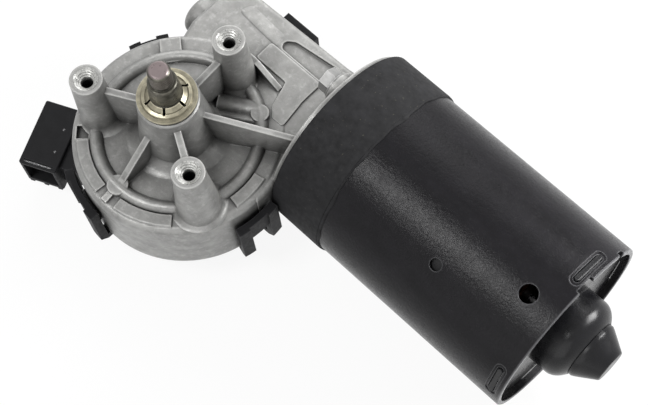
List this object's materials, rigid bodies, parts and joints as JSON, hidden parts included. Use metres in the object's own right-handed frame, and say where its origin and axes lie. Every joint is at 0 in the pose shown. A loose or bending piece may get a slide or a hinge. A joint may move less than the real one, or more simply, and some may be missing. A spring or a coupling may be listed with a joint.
{
  "type": "wiper motor",
  "caption": "Worm-geared wiper motor: cast gearbox with boss mounts and threaded output shaft, black can with domed end, side connector on a clipped cover",
  "frame": {"origin": "output shaft axis at the plane of the mounting boss tips", "axes": "+Z out along the output shaft, +X along the worm and motor axis towards the can, +Y from the shaft to the motor axis"},
  "size_m": [0.2297, 0.125, 0.0995],
  "materials": {
    "cast_aluminium": "satin, as cast",
    "painted_steel": "semi-gloss black",
    "black_gloss_steel": "gloss black",
    "zinc_steel": "zinc plated",
    "shaft_steel": "ground, oiled",
    "steel": "ground",
    "black_plastic": "satin",
    "gear_plastic": "natural nylon",
    "brush_card": "phenolic",
    "rubber_band": "matte",
    "seal_rubber": "matte",
    "bronze": "sintered",
    "contact_brass": "satin",
    "copper": "enamelled wire",
    "magnet": "matte ferrite",
    "core_steel": "laminated",
    "carbon": "matte"
  },
  "bodies": {
    "housing": {"gear_housing": "cast_aluminium", "gear_cover": "black_plastic", "cover_gasket": "seal_rubber", "connector_housing": "black_plastic", "connector_terminals": "contact_brass", "upper_shaft_bush": "bronze", "lower_shaft_bush": "bronze", "shaft_seal_ring": "seal_rubber", "upper_thrust_washer": "black_plastic", "lower_thrust_washer": "steel", "park_contacts": "contact_brass", "worm_end_bush": "bronze", "thrust_ball": "steel", "mid_bearing": "steel", "motor_can": "painted_steel", "end_plate": "black_gloss_steel", "bearing_cap": "black_gloss_steel", "end_bush": "bronze", "magnets": "magnet", "sealing_band": "rubber_band", "flange_screws": "zinc_steel", "brush_plate": "brush_card", "brushes": "carbon", "brush_springs": "steel", "chokes": "core_steel"},
    "output": {"output_shaft": "shaft_steel", "retainer_washer": "zinc_steel", "worm_wheel": "gear_plastic", "wheel_insert": "steel", "park_contact_disc": "contact_brass"},
    "armature": {"armature_shaft": "steel", "armature_core": "core_steel", "armature_windings": "copper", "commutator": "copper"}
  },
  "joints": [
    {"name": "armature_spin", "type": "hinge", "parent": "housing", "child": "armature", "pos_m": [0, 0.043, -0.042], "axis": [1, 0, 0], "continuous": true},
    {"name": "output_spin", "type": "hinge", "parent": "housing", "child": "output", "pos_m": [0, 0, 0], "axis": [0, 0, 1], "continuous": true}
  ],
  "couplings": [
    {"joint": "output_spin", "follows": "armature_spin", "ratio": 0.017241}
  ]
}
